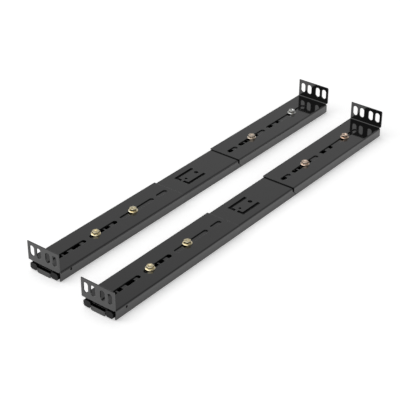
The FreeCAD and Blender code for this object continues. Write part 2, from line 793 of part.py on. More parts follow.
def make_inner_cage(rail):
    """The cage between the middle and inner members."""
    part = SubPart(rail, "inner_cage")
    half = size.cage_leg_gauge / 2
    outside, inside = Levels.inner_track + half, Levels.inner_track - half
    foot = size.ball_height - size.cage_leg_reach
    section = part.sketch("XZ_Plane")
    add_outline(section, (
        (0.0, Levels.inner_cage_under), (0.0, Levels.inner_cage_top),
        (outside, Levels.inner_cage_top), (outside, foot), (inside, foot),
        (inside, Levels.inner_cage_under),
    ))
    strip = part.pad(section, size.cage_length, backwards=True)
    part.mirror([strip])
    cage_pockets(part)
    place(part.body, rail, x=Levels.slide_centre, y=size.cage_front)
    return part.body


def flat_faced_ball(radius, centre):
    """A ball as a polyhedron inside its sphere, which keeps the many balls light."""
    def point(side, band):
        turn = 2 * math.pi * side / BALL_SIDES
        tilt = math.pi * (band / BALL_BANDS - 0.5)
        ring = radius * math.cos(tilt)
        return centre + Vector(ring * math.cos(turn), ring * math.sin(turn),
                               radius * math.sin(tilt))

    faces = []
    for side in range(BALL_SIDES):
        for band in range(BALL_BANDS):
            corners = [point(side, band), point(side + 1, band),
                       point(side + 1, band + 1), point(side, band + 1)]
            if band == 0:
                del corners[1]
            if band == BALL_BANDS - 1:
                del corners[-1]
            faces.append(Part.Face(Part.makePolygon(corners + corners[:1])))
    return Part.makeSolid(Part.makeShell(faces))


def make_balls(rail, name, track):
    """Both rows of balls of one cage, as separate solids."""
    balls = doc.addObject("Part::Feature", f"{rail.side}_{name}")
    balls.Label = f"{rail.side}_{name}"
    solids = []
    for sign in (-1, 1):
        for station in ball_stations():
            centre = Vector(sign * track.number, station.number, 0)
            solids.append(flat_faced_ball(size.ball_diameter.number / 2, centre))
    balls.Shape = Part.makeCompound(solids)
    place(balls, rail, x=Levels.slide_centre, y=size.cage_front, z=size.ball_height)
    return balls


def make_screws(rail):
    """The four clamping screws: a hexagon on a washer face, and a plain shank."""
    part = SubPart(rail, "clamp_screws")
    shanks = part.sketch("XY_Plane")
    washers = part.sketch("XY_Plane")
    hexagons = part.sketch("XY_Plane")
    corner = size.screw_hex_width / math.sqrt(3)
    for station in Levels.front_screws + Levels.rear_screws:
        add_circle(shanks, 0.0, station, size.screw_diameter / 2)
        add_circle(washers, 0.0, station, size.screw_flange_diameter / 2)
        turns = [math.radians(60 * side) for side in range(6)]
        add_outline(hexagons, [
            (corner * math.cos(turn), station + corner * math.sin(turn)) for turn in turns])
    part.pad(shanks, size.bracket_gauge + size.base_gauge, backwards=True)
    part.pad(washers, size.screw_flange_height)
    part.pad(hexagons, size.screw_head_height)
    place(part.body, rail, z=Levels.top)
    return part.body


def make_bumpers(rail, name, track, front, capped):
    """Two plastic plugs that close the ball tracks at the front and stop the cage.
    Capped ones also cover the member's end."""
    part = SubPart(rail, name)
    near, far = track - size.bumper_flat, track + Levels.groove - size.ball_clearance
    low, high = size.ball_height - size.bumper_rise, size.ball_height + size.bumper_rise
    bevel = size.bumper_bevel
    section = part.sketch("XZ_Plane")
    add_outline(section, (
        (near, low), (far - bevel, low), (far, low + bevel),
        (far, high - bevel), (far - bevel, high), (near, high),
    ))
    plug = part.pad(section, size.bumper_length, backwards=True)
    if not capped:
        part.mirror([plug])
        place(part.body, rail, x=Levels.slide_centre, y=front + size.bumper_setback)
        return part.body

    inside, outside = Levels.inner_outer_face + size.cap_gap, size.slide_width / 2 - size.cap_gap
    foot, head = size.cap_foot, Levels.base_under - size.cap_gap
    cover = part.sketch("XZ_Plane")
    add_cornered_rectangle(cover, inside, foot, outside, head, size.cap_corner)
    part.mirror([plug, part.pad(cover, size.cap_thickness)])
    place(part.body, rail, x=Levels.slide_centre, y=front)
    return part.body


def make_rear_stop(rail):
    """A plastic block under the outer member's web, behind the moving members."""
    part = SubPart(rail, "rear_stop")
    section = part.sketch("XZ_Plane")
    half = size.stop_half_width
    add_rectangle(section, -half, size.stop_foot, half, Levels.outer_web)
    part.pad(section, size.stop_length, backwards=True)
    place(part.body, rail, x=Levels.slide_centre, y=Levels.stop_front)
    return part.body


def make_release_lever(rail):
    """The sprung plastic lever that frees the inner member, with its side catch."""
    part = SubPart(rail, "release_lever")
    half, reach, tail = size.lever_half_width, size.lever_reach, size.lever_tail
    nose, length = size.lever_nose_place, size.lever_nose_length
    bar = part.sketch("XY_Plane")
    add_outline(bar, (
        (-half, -reach), (half, -reach), (half, -nose),
        (size.lever_nose_reach, -nose), (half, -nose + length), (half, tail), (-half, tail),
    ))
    part.pad(bar, size.lever_thickness)
    bore = part.sketch("XY_Plane")
    add_circle(bore, 0.0, 0.0, size.lever_pin_radius + size.running_clearance)
    part.cut_through(bore)
    place(part.body, rail, x=Levels.slide_centre, y=size.lever_pivot, z=Levels.lever_under)
    return part.body


def make_lever_pin(rail):
    """The lever's headed pivot pin, standing on the inner member's web."""
    part = SubPart(rail, "lever_pin")
    shank = part.sketch("XY_Plane")
    add_circle(shank, 0.0, 0.0, size.lever_pin_radius)
    length = size.lever_lift + size.lever_thickness + size.running_clearance
    part.pad(shank, length)
    head = part.sketch("XY_Plane", length)
    add_circle(head, 0.0, 0.0, size.lever_pin_head_radius)
    part.pad(head, size.lever_pin_head_height)
    place(part.body, rail, x=Levels.slide_centre, y=size.lever_pivot, z=size.inner_gauge)
    return part.body


def listed_slots(kind, slots):
    """Start and end of each slot in a bracket's plate, as Sizes."""
    return [(getattr(size, f"{kind}_slot_{number}_start"),
             getattr(size, f"{kind}_slot_{number}_end")) for number in range(len(slots))]


def make_rail(rail):
    """Every sub-part of one rail."""
    front_slots = listed_slots("front", FRONT_SLOTS)
    rear_slots = listed_slots("rear", REAR_SLOTS)
    return [
        make_bracket(rail, "front_bracket", size.front_bracket_length, front_slots, True),
        make_bracket(rail, "rear_bracket", size.rear_bracket_length, rear_slots, False),
        make_base(rail),
        make_outer_member(rail),
        make_middle_member(rail),
        make_inner_member(rail),
        make_outer_cage(rail),
        make_inner_cage(rail),
        make_balls(rail, "outer_balls", Levels.outer_track),
        make_balls(rail, "inner_balls", Levels.inner_track),
        make_screws(rail),
        make_bumpers(rail, "outer_bumpers", Levels.outer_track, size.outer_end_inset, False),
        make_bumpers(rail, "middle_bumpers", Levels.inner_track, size.middle_front, True),
        make_rear_stop(rail),
        make_release_lever(rail),
        make_lever_pin(rail),
    ]


def check_document():
    """Stops on any object that failed to recompute."""
    for item in doc.Objects:
        if "Invalid" in item.State or "Error" in item.State:
            raise RuntimeError(f"{item.Label} failed: {item.State}")


sub_parts = make_rail(Rail("left", -1)) + make_rail(Rail("right", 1))
doc.recompute()
check_document()
for sub_part in sub_parts:
    if sub_part.Shape.isNull() or not sub_part.Shape.isValid():
        raise RuntimeError(f"{sub_part.Label} has a null or invalid shape")
os.makedirs("parts", exist_ok=True)
for sub_part in sub_parts:
    sub_part.Shape.exportStep(f"parts/{sub_part.Label}.step")
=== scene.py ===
"""Dresses the sliding server rail pair: eased sheet metal, fine screws, full ball
cages, finishes, studio and camera."""

import json
import logging
import math
from dataclasses import dataclass
from enum import Enum
from typing import Any, Iterable, Optional, Sequence, Union

import bmesh
import bpy
from mathutils import Matrix, Vector


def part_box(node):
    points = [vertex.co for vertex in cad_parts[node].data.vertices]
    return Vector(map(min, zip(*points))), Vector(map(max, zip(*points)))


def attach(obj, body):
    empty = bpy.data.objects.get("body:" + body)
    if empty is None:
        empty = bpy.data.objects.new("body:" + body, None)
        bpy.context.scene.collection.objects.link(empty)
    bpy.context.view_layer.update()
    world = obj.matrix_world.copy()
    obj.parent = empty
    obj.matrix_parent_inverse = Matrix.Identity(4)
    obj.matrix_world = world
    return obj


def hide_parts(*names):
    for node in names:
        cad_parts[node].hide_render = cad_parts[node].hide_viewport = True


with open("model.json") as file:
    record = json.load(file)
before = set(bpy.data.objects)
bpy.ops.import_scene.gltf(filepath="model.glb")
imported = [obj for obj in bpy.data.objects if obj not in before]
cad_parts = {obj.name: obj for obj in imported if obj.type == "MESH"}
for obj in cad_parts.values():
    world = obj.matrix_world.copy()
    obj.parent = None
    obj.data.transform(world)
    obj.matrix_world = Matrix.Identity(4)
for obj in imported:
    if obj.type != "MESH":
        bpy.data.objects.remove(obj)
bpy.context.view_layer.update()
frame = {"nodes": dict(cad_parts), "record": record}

LOG = logging.getLogger("server_rails")
MM = 0.001
MERGE = 0.002 * MM
Tree = bpy.types.NodeTree
Node = bpy.types.Node
Socket = bpy.types.NodeSocket
Material = bpy.types.Material
Box = tuple[Vector, Vector]
Point = Union[bpy.types.MeshVertex, bmesh.types.BMVert]
BODIES = {node: body for body, nodes in frame["record"]["behaviour"]["bodies"].items()
          for node in nodes}


class Side(Enum):
    """The two rails of the pair."""

    LEFT = "left"
    RIGHT = "right"


class Easing(Enum):
    """How far a piece's sharp edges are rounded, in millimetres."""

    SHEARED = 0.16
    ROLLED = 0.12
    MOULDED = 0.35
    TURNED = 0.10


def linear(colour: str) -> tuple[float, float, float, float]:
    """Turns an sRGB hex colour into linear light.

    Args:
        colour: Six hex digits with a leading hash, such as "#1a1b1d".

    Returns:
        Red, green, blue and an alpha of one.
    """
    channels = [int(colour[start:start + 2], 16) / 255 for start in (1, 3, 5)]
    bright = [c / 12.92 if c <= 0.04045 else ((c + 0.055) / 1.055) ** 2.4 for c in channels]
    return bright[0], bright[1], bright[2], 1.0


def add(tree: Tree, kind: str, settings: Optional[dict[str, Any]] = None,
        inputs: Optional[dict[Any, Any]] = None) -> Node:
    """Adds one node with its settings, input values and incoming links.

    Args:
        tree: The node tree that takes the node.
        kind: The node's type name without the leading "ShaderNode".
        settings: Properties of the node itself.
        inputs: Socket name or index to a value, or to an output socket to link.

    Returns:
        The new node.
    """
    node = tree.nodes.new("ShaderNode" + kind)
    for name, value in (settings or {}).items():
        setattr(node, name, value)
    for name, value in (inputs or {}).items():
        if isinstance(value, bpy.types.NodeSocket):
            tree.links.new(value, node.inputs[name])
        else:
            node.inputs[name].default_value = value
    return node


def per_metre(size_mm: float) -> float:
    """A noise texture's scale for features of a real size in millimetres."""
    return 1 / (size_mm * MM)


@dataclass(frozen=True)
class Finish:
    """What every finish shares: a name and the settings of its principled shader.

    The roughness is lower by "smoother" and higher by "rougher" at a pattern's two ends.
    """

    name: str
    colour: str
    roughness: float
    metallic: float = 0.0
    smoother: float = 0.05
    rougher: float = 0.05

    def start(self) -> tuple[Material, Tree, Node, Socket]:
        """Makes the material with its shader and object coordinates.

        Returns:
            The material, its tree, the principled shader and the coordinates.
        """
        material = bpy.data.materials.new(self.name)
        material.use_nodes = True
        tree = material.node_tree
        tree.nodes.clear()
        shader = add(tree, "BsdfPrincipled", inputs={
            "Base Color": linear(self.colour), "Roughness": self.roughness,
            "Metallic": self.metallic})
        add(tree, "OutputMaterial", inputs={"Surface": shader.outputs["BSDF"]})
        place = add(tree, "TexCoord").outputs["Object"]
        material.diffuse_color = linear(self.colour)
        return material, tree, shader, place

    def vary_roughness(self, tree: Tree, shader: Node, pattern: Socket, low: float,
                       high: float) -> None:
        """Lets the roughness drift with a pattern.

        Args:
            tree: The finish's node tree.
            shader: Its principled shader.
            pattern: The pattern's value.
            low: The value at which the finish is smoothest.
            high: The value at which it is roughest.
        """
        drift = add(tree, "MapRange", inputs={
            "Value": pattern, "From Min": low, "From Max": high,
            "To Min": self.roughness - self.smoother, "To Max": self.roughness + self.rougher})
        tree.links.new(drift.outputs["Result"], shader.inputs["Roughness"])


@dataclass(frozen=True)
class PowderCoat(Finish):
    """Black coat baked on pressed steel: sprayed powder or a dipped electrocoat.

    The coat flows as it bakes into a hard, dense film with a fine orange peel. A glossy
    one mirrors what stands near it. The edges carry a painted highlight, a lighter grey for
    the light they catch where the film thins out, and the film picks up faint handling marks.
    """

    smoother: float = 0.02
    rougher: float = 0.04
    ior: float = 1.72
    peel_mm: float = 1.6
    peel_height_mm: float = 0.006
    mark_mm: float = 42.0
    mark_colour: str = "#080808"
    edge_mm: float = 0.25
    # Painted highlight: the lighter grey that the edges are mixed towards, for the light they
    # catch.
    edge_highlight_colour: str = "#232426"
    edge_starts: float = 0.995
    edge_full: float = 0.85
    edge_highlight_share: float = 0.8

    def build(self) -> Material:
        """Makes the material.

        Returns:
            The finish as a material.
        """
        material, tree, shader, place = self.start()
        shader.inputs["IOR"].default_value = self.ior
        # Real orange peel is about 0.8 mm across; it is drawn twice as coarse to show.
        peel = add(tree, "TexNoise", inputs={
            "Vector": place, "Scale": per_metre(self.peel_mm), "Detail": 2.0})
        marks = add(tree, "TexNoise", inputs={
            "Vector": place, "Scale": per_metre(self.mark_mm), "Detail": 5.0,
            "Roughness": 0.6})
        rounded = add(tree, "Bevel", {"samples": 4}, {"Radius": self.edge_mm * MM})
        flat = add(tree, "NewGeometry")
        facing = add(tree, "VectorMath", {"operation": "DOT_PRODUCT"}, {
            0: rounded.outputs["Normal"], 1: flat.outputs["Normal"]})
        # Painted highlight: where the rounded normal turns from the flat one, the colour goes
        # lighter.
        edge = add(tree, "MapRange", inputs={
            "Value": facing.outputs["Value"], "From Min": self.edge_starts,
            "From Max": self.edge_full, "To Min": 0.0, "To Max": self.edge_highlight_share})
        body = add(tree, "Mix", {"data_type": "RGBA"}, {
            "Factor": marks.outputs["Fac"], 6: linear(self.colour),
            7: linear(self.mark_colour)})
        colour = add(tree, "Mix", {"data_type": "RGBA"}, {
            "Factor": edge.outputs["Result"], 6: body.outputs[2],
            7: linear(self.edge_highlight_colour)})
        tree.links.new(colour.outputs[2], shader.inputs["Base Color"])
        self.vary_roughness(tree, shader, marks.outputs["Fac"], low=0.3, high=0.7)
        bump = add(tree, "Bump", inputs={
            "Height": peel.outputs["Fac"], "Strength": 0.3,
            "Distance": self.peel_height_mm * MM, "Normal": rounded.outputs["Normal"]})
        tree.links.new(bump.outputs["Normal"], shader.inputs["Normal"])
        return material


@dataclass(frozen=True)
class ZincPlate(Finish):
    """Zinc plate with a passivation film, clear or yellow, on cold-formed steel.

    The film is a few light waves thick, so its tint drifts over a few millimetres, and
    the plate under it keeps the fine satin of the forming tools.
    """

    smoother: float = 0.06
    rougher: float = 0.08
    tint: str = "#d8c89c"
    drift_mm: float = 3.2
    grain_mm: float = 0.5
    grain_height_mm: float = 0.008

    def build(self) -> Material:
        """Makes the material.

        Returns:
            The finish as a material.
        """
        material, tree, shader, place = self.start()
        drift = add(tree, "TexNoise", inputs={
            "Vector": place, "Scale": per_metre(self.drift_mm), "Detail": 3.0})
        # Real satin is finer than a tenth of a millimetre; it is drawn several times as
        # coarse to show, so that it breaks up the highlights.
        grain = add(tree, "TexNoise", inputs={
            "Vector": place, "Scale": per_metre(self.grain_mm), "Detail": 3.0})
        spread = add(tree, "MapRange", inputs={
            "Value": drift.outputs["Fac"], "From Min": 0.35, "From Max": 0.65})
        colour = add(tree, "Mix", {"data_type": "RGBA"}, {
            "Factor": spread.outputs["Result"], 6: linear(self.colour),
            7: linear(self.tint)})
        tree.links.new(colour.outputs[2], shader.inputs["Base Color"])
        self.vary_roughness(tree, shader, grain.outputs["Fac"], low=0.3, high=0.7)
        bump = add(tree, "Bump", inputs={
            "Height": grain.outputs["Fac"], "Strength": 0.2,
            "Distance": self.grain_height_mm * MM})
        tree.links.new(bump.outputs["Normal"], shader.inputs["Normal"])
        return material


@dataclass(frozen=True)
class MouldedPlastic(Finish):
    """Black acetal, injection moulded in a spark-eroded tool.

    The eroded cavity leaves an even fine grain that keeps the plastic matt.
    """

    ior: float = 1.3
    grain_mm: float = 0.35
    grain_height_mm: float = 0.015

    def build(self) -> Material:
        """Makes the material.

        Returns:
            The finish as a material.
        """
        material, tree, shader, place = self.start()
        shader.inputs["IOR"].default_value = self.ior
        # Real eroded grain is about 0.1 mm across; it is drawn over three times as coarse.
        grain = add(tree, "TexNoise", inputs={
            "Vector": place, "Scale": per_metre(self.grain_mm), "Detail": 2.0})
        bump = add(tree, "Bump", inputs={
            "Height": grain.outputs["Fac"], "Strength": 0.4,
            "Distance": self.grain_height_mm * MM})
        tree.links.new(bump.outputs["Normal"], shader.inputs["Normal"])
        self.vary_roughness(tree, shader, grain.outputs["Fac"], low=0.0, high=1.0)
        return material


# Brackets and base are sprayed with a full gloss powder, deep black and mirror-like.
COAT = PowderCoat("Black_powder_coat", "#040405", 0.07, edge_mm=0.3)
# The outer member is dipped, not sprayed: a thin matt electrocoat that looks deep black.
DIPPED_COAT = PowderCoat("Black_matt_electrocoat", "#040404", 0.5, ior=1.3)
# The sliding members carry a semi-gloss coat that blurs what it mirrors.
SLIDE_COAT = PowderCoat("Black_slide_coat", "#0a0a0b", 0.24, ior=1.7)
# The screws come from one batch: the film is yellow on some, straw, rosy or nearly clear
# on others. The nearly clear plate is also on the ball cages and the lever pins.
YELLOW_ZINC = ZincPlate("Yellow_zinc_plate", "#ece4c8", 0.14, 1.0)
STRAW_ZINC = ZincPlate("Straw_zinc_plate", "#d2c8b8", 0.16, 1.0, tint="#ccbcac")
ROSE_ZINC = ZincPlate("Rose_zinc_plate", "#e0d0c2", 0.15, 1.0, tint="#cdb09a")
CLEAR_ZINC = ZincPlate("Clear_zinc_plate", "#c6c8cb", 0.18, 1.0, tint="#ceccc4")
# Ground and lapped chrome steel has no film, so its tint hardly drifts.
BEARING_STEEL = ZincPlate("Ground_bearing_steel", "#c2c4c8", 0.12, 1.0, tint="#cdced0")
# The end caps, stops and levers are black acetal, matt with a weak sheen.
ACETAL = MouldedPlastic("Black_moulded_acetal", "#060607", 0.4)


def clusters(points: Iterable[Point], gap_mm: float) -> list[list[Point]]:
    """Parts points that lie in separate groups along the rail.

    Args:
        points: Points of one mesh.
        gap_mm: The least clear distance along Y between two groups.

    Returns:
        The groups, each sorted along Y, front to rear.
    """
    ordered = sorted(points, key=lambda point: point.co.y)
    groups = [[ordered[0]]]
    for point in ordered[1:]:
        if point.co.y - groups[-1][-1].co.y > gap_mm * MM:
            groups.append([])
        groups[-1].append(point)
    return groups


def islands(node: str, gap_mm: float = 10.0) -> list[Box]:
    """The boxes of a node's separate solids along the rail.

    Args:
        node: The CAD node's name.
        gap_mm: The least clear distance along Y between two solids.

    Returns:
        The lowest and highest corner of each, front to rear.
    """
    groups = [[point.co for point in group]
              for group in clusters(frame["nodes"][node].data.vertices, gap_mm)]
    return [(Vector(map(min, *group)), Vector(map(max, *group))) for group in groups]


def finish_shape(shape: bmesh.types.BMesh, name: str, nodes: Sequence[str],
                 materials: Sequence[Material], smooth_below: float) -> bpy.types.Object:
    """Turns a shape into a piece that stands for its CAD nodes and rides with them.

    Args:
        shape: The piece's shape in the part's frame; it is freed.
        name: The piece's name.
        nodes: The CAD nodes that it stands for, all on one body.
        materials: Its finishes, in the order of its faces' material numbers.
        smooth_below: Edges that turn by less than this many degrees look smooth.

    Returns:
        The piece.
    """
    mesh = bpy.data.meshes.new(name)
    for face in shape.faces:
        face.smooth = True
    shape.to_mesh(mesh)
    shape.free()
    mesh.set_sharp_from_angle(angle=math.radians(smooth_below))
    for material in materials:
        mesh.materials.append(material)
    piece = bpy.data.objects.new(name, mesh)
    bpy.context.scene.collection.objects.link(piece)
    weighted = piece.modifiers.new("Even_normals", "WEIGHTED_NORMAL")
    weighted.keep_sharp = True
    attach(piece, BODIES[nodes[0]])
    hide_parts(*nodes)
    LOG.info("%s stands for %s", name, ", ".join(nodes))
    return piece


@dataclass
class EasedPiece:
    """A rigid piece with its CAD outline and its sharp edges eased.

    Pressed steel leaves the tool with a small rounding on each edge, and its coat
    rounds it further, so every edge draws a thin line of light. Angles are in degrees.
    """

    node: str
    easing: Easing
    sharp_above: float = 40.0
    smooth_below: float = 24.0
    flat_below: float = 0.4
    segments: int = 2

    def trim(self, shape: bmesh.types.BMesh) -> None:
        """Changes the flat shape before its edges are eased; most pieces need nothing."""

    def build(self, material: Material) -> bpy.types.Object:
        """Makes the piece from the CAD node.

        Args:
            material: Its finish.

        Returns:
            The piece.
        """
        shape = bmesh.new()
        shape.from_mesh(frame["nodes"][self.node].data)
        bmesh.ops.remove_doubles(shape, verts=shape.verts, dist=MERGE)
        bmesh.ops.dissolve_limit(
            shape, angle_limit=math.radians(self.flat_below), verts=shape.verts,
            edges=shape.edges, use_dissolve_boundaries=False, delimit={"NORMAL"})
        self.trim(shape)
        sharp = [edge for edge in shape.edges if edge.is_manifold
                 and edge.calc_face_angle(0.0) > math.radians(self.sharp_above)]
        bmesh.ops.bevel(
            shape, geom=sharp, offset=self.easing.value * MM, offset_type="OFFSET",
            segments=self.segments, profile=0.5, affect="EDGES", clamp_overlap=True,
            material=-1, loop_slide=True)
        bmesh.ops.recalc_face_normals(shape, faces=shape.faces)
        return finish_shape(shape, f"{self.node}_eased", [self.node], [material],
                            self.smooth_below)


@dataclass
class FrontBracket(EasedPiece):
    """A front bracket, whose first adjusting slot runs on almost to the flange.

    Sizes are in millimetres.
    """

    slot_reach: float = 14.0
    slot_half: float = 3.2
    flange_depth: float = 6.0

    def trim(self, shape: bmesh.types.BMesh) -> None:
        """Lengthens the first slot.

        Args:
            shape: The bracket's shape.
        """
        low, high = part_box(self.node)
        middle = (low[0] + high[0]) / 2
        plate = [point for point in shape.verts
                 if abs(point.co.x - middle) < self.slot_half * MM
                 and point.co.y > low[1] + self.flange_depth * MM]
        start = min(point.co.y for point in plate)
        end = [point for point in plate if point.co.y < start + self.slot_half * MM]
        bmesh.ops.translate(shape, verts=end, vec=(0.0, -self.slot_reach * MM, 0.0))


@dataclass
class BaseChannel(EasedPiece):
    """A base channel, with the lanced tongue's cuts and holes opened to their real width.

    Sizes are in millimetres, and hole_growth is a ratio.
    """

    tongue_reach: float = 12.0
    cut_opening: float = 0.9
    cut_depth: float = 4.0
    hole_growth: float = 1.35
    hole_reach: float = 2.5
    hole_gap: float = 2.0

    def trim(self, shape: bmesh.types.BMesh) -> None:
        """Opens the tongue's cuts outwards and its two holes all round.

        Args:
            shape: The channel's shape.
        """
        side = self.node.split("_")[0]
        low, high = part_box(self.node)
        axis = (low[0] + high[0]) / 2
        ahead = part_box(f"{side}_front_bracket")[1][1]
        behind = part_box(f"{side}_rear_bracket")[0][1]
        tongue = [point for point in shape.verts if ahead < point.co.y < behind
                  and abs(point.co.x - axis) < self.tongue_reach * MM]
        across = [point.co.x for point in tongue]
        middle = (min(across) + max(across)) / 2
        front = min(point.co.y for point in tongue)
        self.open_cuts(tongue, middle, front)
        self.open_holes([point for point in tongue
                         if point.co.y > front + self.cut_depth * MM
                         and abs(point.co.x - middle) < self.hole_reach * MM], middle)

    def open_cuts(self, tongue: Sequence[Point], middle: float, front: float) -> None:
        """Moves the cuts' outer edges outwards.

        Args:
            tongue: All points of the tongue's cuts and holes.
            middle: The tongue's place across the rail, in metres.
            front: The front cut's place along the rail, in metres.
        """
        outside = max(abs(point.co.x - middle) for point in tongue)
        opening = self.cut_opening * MM
        for point in tongue:
            if point.co.y < front + MERGE:
                point.co.y -= opening
            if abs(point.co.x - middle) > outside - MERGE:
                point.co.x += math.copysign(opening, point.co.x - middle)

    def open_holes(self, rims: Sequence[Point], middle: float) -> None:
        """Grows the tongue's holes, each about its own centre.

        Args:
            rims: The points of the holes' rims.
            middle: The tongue's place across the rail, in metres.
        """
        for hole in clusters(rims, self.hole_gap):
            centre = (hole[0].co.y + hole[-1].co.y) / 2
            for point in hole:
                point.co.x = middle + (point.co.x - middle) * self.hole_growth
                point.co.y = centre + (point.co.y - centre) * self.hole_growth


@dataclass
class ClampScrews:
    """The hexagon flange screws of one rail, with cupped heads and ribbed shanks.

    Sizes are in millimetres and turns in degrees.
    """

    side: Side
    head_height: float = 4.0
    across_flats: float = 7.4
    hexagon_foot: float = 1.0
    head_rounding: float = 0.4
    flange_rim: float = 0.75
    flange_rise: float = 1.3
    foot_inset: float = 0.25
    foot_rise: float = 0.2
    shoulder_inset: float = 0.3
    shoulder_rise: float = 0.2
    skirt: float = 0.15
    under_head: float = 0.6
    cup_inset: float = 1.1
    cup_wall: float = 0.6
    cup_depth: float = 0.8
    shank_radius: float = 2.5
    thread_depth: float = 0.32
    thread_pitch: float = 0.8
    turn_steps: int = 36
    first_turn: float = 17.0
    turn_each: float = 23.0

    def lathe(self, shape: bmesh.types.BMesh, outline: Sequence[tuple[float, float]],
              centre: Vector) -> None:
        """Spins an outline of radius and height about a screw's axis.

        Args:
            shape: The shape that takes the turned surface.
            outline: Radius and height of each point in millimetres, foot to top.
            centre: The screw's axis at the plate's surface, in metres.
        """
        points = [shape.verts.new(centre + Vector((radius, 0.0, height)) * MM)
                  for radius, height in outline]
        edges = [shape.edges.new(pair) for pair in zip(points, points[1:])]
        bmesh.ops.spin(
            shape, geom=points + edges, cent=centre, axis=(0.0, 0.0, 1.0),
            angle=2 * math.pi, steps=self.turn_steps, use_merge=True)

    def thread(self, length: float) -> list[tuple[float, float]]:
        """The shank's outline.

        Args:
            length: How far the shank reaches below the plate's surface.

        Returns:
            Radius and height of each point, from the shank's end up to the plate.
        """
        core = self.shank_radius - self.thread_depth
        outline = [(0.0, -length), (core - self.thread_depth, -length)]
        height = -length + self.thread_pitch / 2
        while height < -self.thread_pitch:
            outline += [(core, height), (self.shank_radius, height + self.thread_pitch / 2)]
            height += self.thread_pitch
        return outline + [(self.shank_radius, 0.0)]

    def add_screw(self, shape: bmesh.types.BMesh, box: Box, turn: float) -> None:
        """Adds one screw where the CAD screw stands.

        Args:
            shape: The shape that takes it.
            box: The CAD screw's box.
            turn: How far its hexagon is turned, in degrees.
        """
        low, high = box
        rim = (high.x - low.x) / 2 / MM
        centre = Vector(((low.x + high.x) / 2, (low.y + high.y) / 2,
                         high.z - self.head_height * MM))
        hexagon = self.across_flats / math.sqrt(3)
        self.lathe(shape, self.thread((centre.z - low.z) / MM) + [
            (rim - self.foot_inset, 0.0), (rim, self.foot_rise), (rim, self.flange_rim),
            (rim - self.shoulder_inset, self.flange_rim + self.shoulder_rise),
            (hexagon + self.skirt, self.flange_rise - self.skirt),
            (hexagon - self.under_head, self.flange_rise), (0.0, self.flange_rise)], centre)
        made = bmesh.ops.create_circle(
            shape, cap_ends=True, radius=hexagon * MM, segments=6,
            matrix=Matrix.Translation(centre + Vector((0.0, 0.0, self.hexagon_foot * MM)))
            @ Matrix.Rotation(math.radians(turn), 4, "Z"))
        base = made["verts"][0].link_faces[0]
        if base.normal.z > 0:
            base.normal_flip()
        lifted = bmesh.ops.extrude_face_region(shape, geom=[base], use_keep_orig=True)
        top_points = [item for item in lifted["geom"] if isinstance(item, bmesh.types.BMVert)]
        bmesh.ops.translate(shape, verts=top_points,
                            vec=(0.0, 0.0, (self.head_height - self.hexagon_foot) * MM))
        top = next(item for item in lifted["geom"] if isinstance(item, bmesh.types.BMFace))
        bmesh.ops.bevel(
            shape, geom=list(top.edges), offset=self.head_rounding * MM,
            offset_type="OFFSET", segments=3, profile=0.5, affect="EDGES",
            clamp_overlap=True, material=-1)
        top = max((face for face in shape.faces if abs(face.calc_center_median().x - centre.x)
                   < MM and abs(face.calc_center_median().y - centre.y) < MM),
                  key=lambda face: face.calc_center_median().z)
        top.normal_update()
        if top.normal.z < 0:
            top.normal_flip()
        bmesh.ops.inset_region(shape, faces=[top], thickness=self.cup_inset * MM,
                               depth=0.0, use_even_offset=True)
        bmesh.ops.inset_region(shape, faces=[top], thickness=self.cup_wall * MM,
                               depth=-self.cup_depth * MM, use_even_offset=True)

    def build(self, finishes: Sequence[Material]) -> None:
        """Makes the four screws as one piece.

        Args:
            finishes: The plating of each, front to rear, as it drifts within a batch.
        """
        node = f"{self.side.value}_clamp_screws"
        shape = bmesh.new()
        for number, box in enumerate(islands(node)):
            before = set(shape.faces)
            self.add_screw(shape, box, turn=self.first_turn + self.turn_each * number)
            for face in set(shape.faces) - before:
                face.material_index = number
        bmesh.ops.remove_doubles(shape, verts=shape.verts, dist=MERGE)
        bmesh.ops.recalc_face_normals(shape, faces=shape.faces)
        finish_shape(shape, f"{node}_turned", [node], finishes, smooth_below=35.0)


